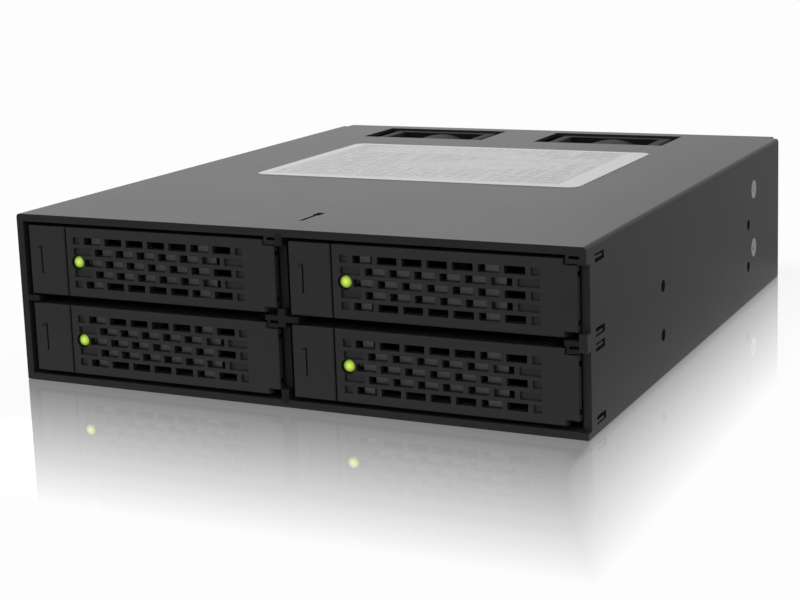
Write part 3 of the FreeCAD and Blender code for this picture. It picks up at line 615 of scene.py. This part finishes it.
# %% [markdown]
# ## Screws with driven heads
# A screw head needs a cross recess to read as a screw. A boolean cut would leave ragged faces, so the
# head is a disc of rings whose height is its dome or flat less the recess: the recess is deep where a
# point is near either arm of the cross, and its depth tapers towards the arms' ends. The shank below
# is the same stack of rings carried on.

# %% Cross-recessed screws
CROSS_ARM = 0.30            # half width of an arm, as a share of its reach


def screw(head_r, head_h, shank_r, shank_h, reach, domed, points=96):
    """Rings, in millimetres, of a screw standing on +Z with its head's rim at z = 0: first the top,
    from the middle out, then the rim, the underside and the shank down to its tip."""
    t = circle(points)
    r = np.concatenate([np.linspace(0.02, reach * 1.1, 16), np.linspace(reach * 1.2, head_r, 6)])
    x, y = r[:, None] * np.cos(t), r[:, None] * np.sin(t)
    arm = np.minimum(np.abs(x), np.abs(y)) / (reach * CROSS_ARM)
    far = np.maximum(np.abs(x), np.abs(y)) / reach
    wall = np.clip((1 - arm) * 4, 0, 1) * np.clip((1 - far) * 5, 0, 1)
    recess = wall * reach * (0.75 - 0.35 * np.clip(far, 0, 1))
    crown = domed * (1 - (r[:, None] / head_r) ** 2) + 0 * x
    rows = [np.stack([x, y, crown - recess], -1)]
    for radius, z in ((head_r, -head_h * 0.25), (shank_r if not domed else head_r, -head_h),
                      (shank_r, -head_h), (shank_r, -shank_h)):
        rows.append(np.stack([radius * np.cos(t), radius * np.sin(t), np.full(points, z)], -1)[None])
    return np.concatenate(rows)


PAN_DOME = 0.25             # height of the pan head's dome, in millimetres
COVER_SCREW = screw(head_r=2.6, head_h=0.5, shank_r=1.5, shank_h=4.0, reach=1.55, domed=0.0)
PAN_SCREW = screw(head_r=2.8, head_h=1.3, shank_r=1.5, shank_h=4.5, reach=1.6, domed=PAN_DOME)
print("rings and points of a screw:", COVER_SCREW.shape[:2])

# %% [markdown]
# ## Screws in their places
# Four screws hold the cover, four the fans and two the backplane. Equal screws share one piece of the
# model, so their places are read from its points, which fall into groups. Typing the places in again
# would work too, but only until the model changes. Each new screw is turned to face the way that its
# head looks.

# %% Screws for the cover, fans and backplane
def aim(rings, place, direction):
    """Rings in millimetres that stand on +Z, made metres, stood on direction and moved to place."""
    up = np.asarray(direction, float)
    side = np.cross(up, (0.0, 0.0, 1.0))
    turn = np.stack([side, np.cross(up, side), up])
    return rings / 1000 @ turn + np.asarray(place)


SCREW_WIDTH = 0.0061        # no screw is wider than this, nor are two screws this near
SCREW_LENGTH = 0.02


def corners_of_screws(node, axis):
    """The lowest and highest corners of each screw that shares one node, from its own vertices:
    points nearer than a screw's width across the axis, and its length along it, are one screw."""
    points = np.array([v.co for v in frame["nodes"][node].data.vertices])
    flat = np.delete(points, axis, 1)
    found = []
    while len(points):
        near = np.linalg.norm(flat - flat[0], axis=1) < SCREW_WIDTH
        same_end = np.abs(points[:, axis] - points[0, axis]) < SCREW_LENGTH
        group = near & same_end
        found.append((points[group].min(0), points[group].max(0)))
        points, flat = points[~group], flat[~group]
    return found


stack = []
for low, high in corners_of_screws("cover_screws", 0):
    side = 1 if high[0] > 0 else -1
    outer = high[0] if side > 0 else low[0]
    stack.append(aim(COVER_SCREW, (outer, *((low + high) / 2)[1:]), (side, 0, 0)))
shell("countersunk_screws", stack, "cage", NICKEL, ("cover_screws",))
for node in ("fan_screws", "backplane_screws"):
    stack = []
    for low, high in corners_of_screws(node, 1):
        middle = (low + high) / 2
        rim = high[1] - PAN_DOME / 1000
        stack.append(aim(PAN_SCREW, (middle[0], rim, middle[2]), (0, 1, 0)))
    shell("pan_" + node, stack, "cage", ZINC, (node,))

# %% [markdown]
# ## Contacts
# The drive sockets and the rear ports carry rows of gilt blades. They are far too many to model one
# by one. An Array modifier could repeat a blade, but it makes one even row, and a socket has two of
# them. So one blade is a rounded bar of a few rings, and a row is that bar added to many places.

# %% One blade, and a row of them
BLADE_WIDTH, BLADE_THICK = 0.0007, 0.0002
SQUARENESS = 0.35           # 1 would be a round bar, 0 a square one


def blade(length, width, thick):
    """A bar along Y with a soft tip: eight points round, five rings along. Its section is a circle
    whose sine and cosine are raised to a power, which pushes it out towards a square."""
    t = circle(8) + math.pi / 8
    corner = np.stack([np.sign(np.cos(t)) * np.abs(np.cos(t)) ** SQUARENESS,
                       np.sign(np.sin(t)) * np.abs(np.sin(t)) ** SQUARENESS], -1)
    along = np.array([0, 0.04, 0.5, 0.96, 1.0]) * length
    swell = np.array([0.6, 1, 1, 1, 1])
    rings = np.zeros((5, 8, 3))
    rings[..., 0] = corner[:, 0] * swell[:, None] * width / 2
    rings[..., 1] = along[:, None]
    rings[..., 2] = corner[:, 1] * swell[:, None] * thick / 2
    return rings


def row_of(bar, start, step, count):
    """Copies of the bar, the first moved to start and each of the others a step beyond the last."""
    places = np.asarray(start) + np.arange(count)[:, None] * np.asarray(step)
    return bar[None] + places[:, None, None, :]


def turned(bar):
    """The same bar lying on its side: X and Z change places."""
    return bar[..., [2, 1, 0]]


bar = blade(0.0038, BLADE_WIDTH, BLADE_THICK)
pin = turned(blade(0.0072, BLADE_WIDTH, BLADE_THICK))
print("rings and points of a blade:", bar.shape[:2])

# %% [markdown]
# ## Contacts in their places
# A drive socket has 15 blades for power and 7 for data, in two rows on the floor of its slot. A rear
# port has as many as its height leaves room for. Each socket or port gets one mesh for all of its
# blades, because they never move apart.

# %% Blades in sockets and ports
CONTACT_PITCH = 0.00127
SLOT_FLOOR = 0.0016         # over the socket's foot
PORT_ENDS = 0.0062          # height of a port that carries no blades
for tray in TRAYS:
    low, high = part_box("drive_socket_" + tray)
    y, z = low.y + 0.0005, low.z + SLOT_FLOOR + BLADE_THICK / 2
    power = row_of(bar, (low.x + 0.0034, y, z), (CONTACT_PITCH, 0, 0), 15)
    data = row_of(bar, (low.x + 0.0292, y, z), (CONTACT_PITCH, 0, 0), 7)
    shell("contacts_" + tray, np.concatenate([power, data]), "cage", GOLD)

for port in [n for n in frame["nodes"] if n.startswith(("data_port_", "power_port_"))]:
    low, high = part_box(port)
    count = int((high.z - low.z - PORT_ENDS) / CONTACT_PITCH)
    start = (low.x + 0.0029, high.y - 0.0082, low.z + 0.0040)
    pins = row_of(pin, start, (0, 0, CONTACT_PITCH), count)
    shell("pins_" + port, pins, "cage", GOLD)

# %% [markdown]
# ## Studio
# A black part is seen mostly by what it reflects. Here it stands in a white room: the backdrop behind
# it draws a sheen over the top, and the room is a little darker away from there, most of all towards
# the right. Matt surfaces receive an even, dimmer light. A ring of lamps could do the same, but the
# world's own shader does it with no noise: it asks what kind of ray has reached it.

# %% Surroundings
scene = bpy.context.scene
scene.view_settings.view_transform = "Standard"
world = bpy.data.worlds.new("studio")
scene.world = world
world.use_nodes = True
world.cycles.sampling_method = "NONE"   # the room is nearly even, so bounced rays find it well enough
FILL = 0.55                 # what matt surfaces receive, where 1 would be the white backdrop
FAR_WALL = 0.80             # what gloss reflects of the room, away from the backdrop
BACKDROP_TURN = math.radians(40)    # the backdrop stands behind the cage, turned to its left
DARK_SIDE = 0.16            # how much darker the room is as far to the right of the back


def world_light():
    room = NodeSheet(world.node_tree)
    background = room.tree.nodes["Background"]
    camera_ray, glossy_ray, clear_ray = (
        room.node("ShaderNodeLightPath", output=kind)
        for kind in ("Is Camera Ray", "Is Glossy Ray", "Is Transmission Ray")
    )
    x, y, _ = room.parts(room.node("ShaderNodeTexCoord", output="Generated"))
    # 1 towards the backdrop, 0 where the line of sight is more than about 65 degrees from it
    towards = y * math.cos(BACKDROP_TURN) - x * math.sin(BACKDROP_TURN)
    towards = ((towards - 0.4) / 0.5).maths("MAXIMUM", 0.0).maths("MINIMUM", 1.0)
    aside = (y * math.cos(BACKDROP_TURN) + x * math.sin(BACKDROP_TURN)).maths("MAXIMUM", 0.0)
    reflected = glossy_ray * (towards * (1 - FAR_WALL) + FAR_WALL - aside * DARK_SIDE)
    plain = camera_ray.maths("MAXIMUM", clear_ray)
    seen = plain.maths("MAXIMUM", reflected)
    background.inputs["Color"].default_value = (1, 1, 1, 1)
    put(background.inputs["Strength"], seen + FILL * (1 - plain) * (1 - glossy_ray))


world_light()
print("light on matt surfaces:", FILL, "and in reflections:", round(FAR_WALL - DARK_SIDE, 2), "to 1")

# %% [markdown]
# ## Table
# The table mirrors the cage close to its feet and fades to plain white, as polished white acrylic
# seems to. A uniform gloss would mirror the whole cage, so a mask on the table's own coordinates
# mixes a mirror with a matt shader: full at the cage's walls and nothing some centimetres away.
# The camera sees the matt part as nearly white; the rest of it keeps the cage's soft shadow.

# %% The table
MIRROR = 0.80               # how strongly the table mirrors what stands on it, at its feet
FADE_AHEAD = 0.070          # how far in front of the cage the mirror fades out
FADE_CURVE = 1.3            # slowly at first
FADE_BESIDE = 0.0305        # at the other sides it fades evenly over this, after a quick first drop
FADE_DROP = 0.13            # that drop, as a share
FADE_STEP = 0.003           # and how wide it is
SEEN_WHITE = 0.97           # how much of the matt part is plain white to the camera


def table_finish():
    top = Finish("pale_table")
    x, y, _ = top.parts(top.place)
    low, high = CAD_BOX
    ahead = (low[1] - y).maths("MAXIMUM", 0.0) / FADE_AHEAD
    away = ahead.maths("POWER", FADE_CURVE)
    for beyond in (low[0] - x, x - high[0], y - high[1]):
        drop = (beyond / FADE_STEP).maths("MAXIMUM", 0.0).maths("MINIMUM", 1.0) * FADE_DROP
        away = away.maths("MAXIMUM", drop + beyond / FADE_BESIDE)
    mirror = (1 - away).maths("MAXIMUM", 0.0) * MIRROR
    white = top.node("ShaderNodeEmission", Color=grey(1.0), Strength=1.0)
    matt = top.node("ShaderNodeBsdfDiffuse", Color=grey(0.68))
    camera_ray = top.node("ShaderNodeLightPath", output="Is Camera Ray")
    plain = top.node("ShaderNodeMixShader", Fac=camera_ray * SEEN_WHITE)
    gloss = top.node("ShaderNodeBsdfGlossy", Color=grey(0.985), Roughness=0.03)
    whole = top.node("ShaderNodeMixShader", Fac=mirror)
    for shader, first, second in ((plain, matt, white), (whole, plain, gloss)):
        node = shader.socket.node
        first.put_into(node.inputs[1])
        second.put_into(node.inputs[2])
    output = next(n for n in top.tree.nodes if n.type == "OUTPUT_MATERIAL")
    whole.put_into(output.inputs["Surface"])
    return top.material


TABLE_HALF = 4.0
TABLE_DROP = 0.0001         # just under the cage, so that the two don't share a plane
square = np.array([(-1, -1, 0), (1, -1, 0), (1, 1, 0), (-1, 1, 0)]) * TABLE_HALF - (0, 0, TABLE_DROP)
mesh = bpy.data.meshes.new("table")
mesh.from_pydata(square.tolist(), [], [(0, 1, 2, 3)])
mesh.materials.append(table_finish())
table = bpy.data.objects.new("table", mesh)
scene.collection.objects.link(table)
print("table:", 2 * TABLE_HALF, "m wide")

# %% [markdown]
# ## Lamp
# One broad lamp stands behind the left corner, low, and adds a little to the sheen on the top. It is
# an area lamp, because a point or a sun would leave a small hard glint on every screw.

# %% Lamp
def softbox(name, place, size, power):
    """A rectangular lamp that stands at place and looks at the cage."""
    light = bpy.data.lights.new(name, "AREA")
    light.shape = "RECTANGLE"
    light.size, light.size_y = size
    light.energy = power
    lamp = bpy.data.objects.new(name, light)
    turn = (-Vector(place)).to_track_quat("-Z", "Y").to_matrix()
    lamp.matrix_world = Matrix.Translation(place) @ turn.to_4x4()
    scene.collection.objects.link(lamp)
    print("lamp:", name, power, "W")


softbox("behind", (-0.72, 0.85, 0.60), (1.0, 0.5), 0.9)

# %% [markdown]
# ## Camera
# The view is from the front right and a little above, with a long lens, as a catalogue shows such a
# part. The lens is shifted, as on a technical camera, so that upright edges lean less. A camera can
# be aimed at an object with a constraint, but that leaves no say in how it is tilted, so this one is
# turned by its own three axes: what is right and up in the picture, and the way from the cage.

# %% Camera
VIEW_FROM = (0.18639, -0.39595, 0.10898)
RIGHT_IN_PICTURE = (0.90692, 0.42021, -0.03043)
UP_IN_PICTURE = (-0.04433, 0.16700, 0.98496)
SHIFT_ACROSS, SHIFT_UP = -0.05, -0.125
camera_data = bpy.data.cameras.new("camera")
camera_data.sensor_width = 36.0
camera_data.lens = 73.97
camera_data.shift_x, camera_data.shift_y = SHIFT_ACROSS, SHIFT_UP
camera_data.clip_start = 0.01
camera = bpy.data.objects.new("camera", camera_data)
scene.collection.objects.link(camera)
axes = np.array([RIGHT_IN_PICTURE, UP_IN_PICTURE, np.cross(RIGHT_IN_PICTURE, UP_IN_PICTURE)])
stand = np.eye(4)
stand[:3, :3] = axes.T
stand[:3, 3] = VIEW_FROM
camera.matrix_world = Matrix(stand.tolist())
scene.camera = camera
print("camera:", camera_data.lens, "mm, shifted by", SHIFT_ACROSS, SHIFT_UP)
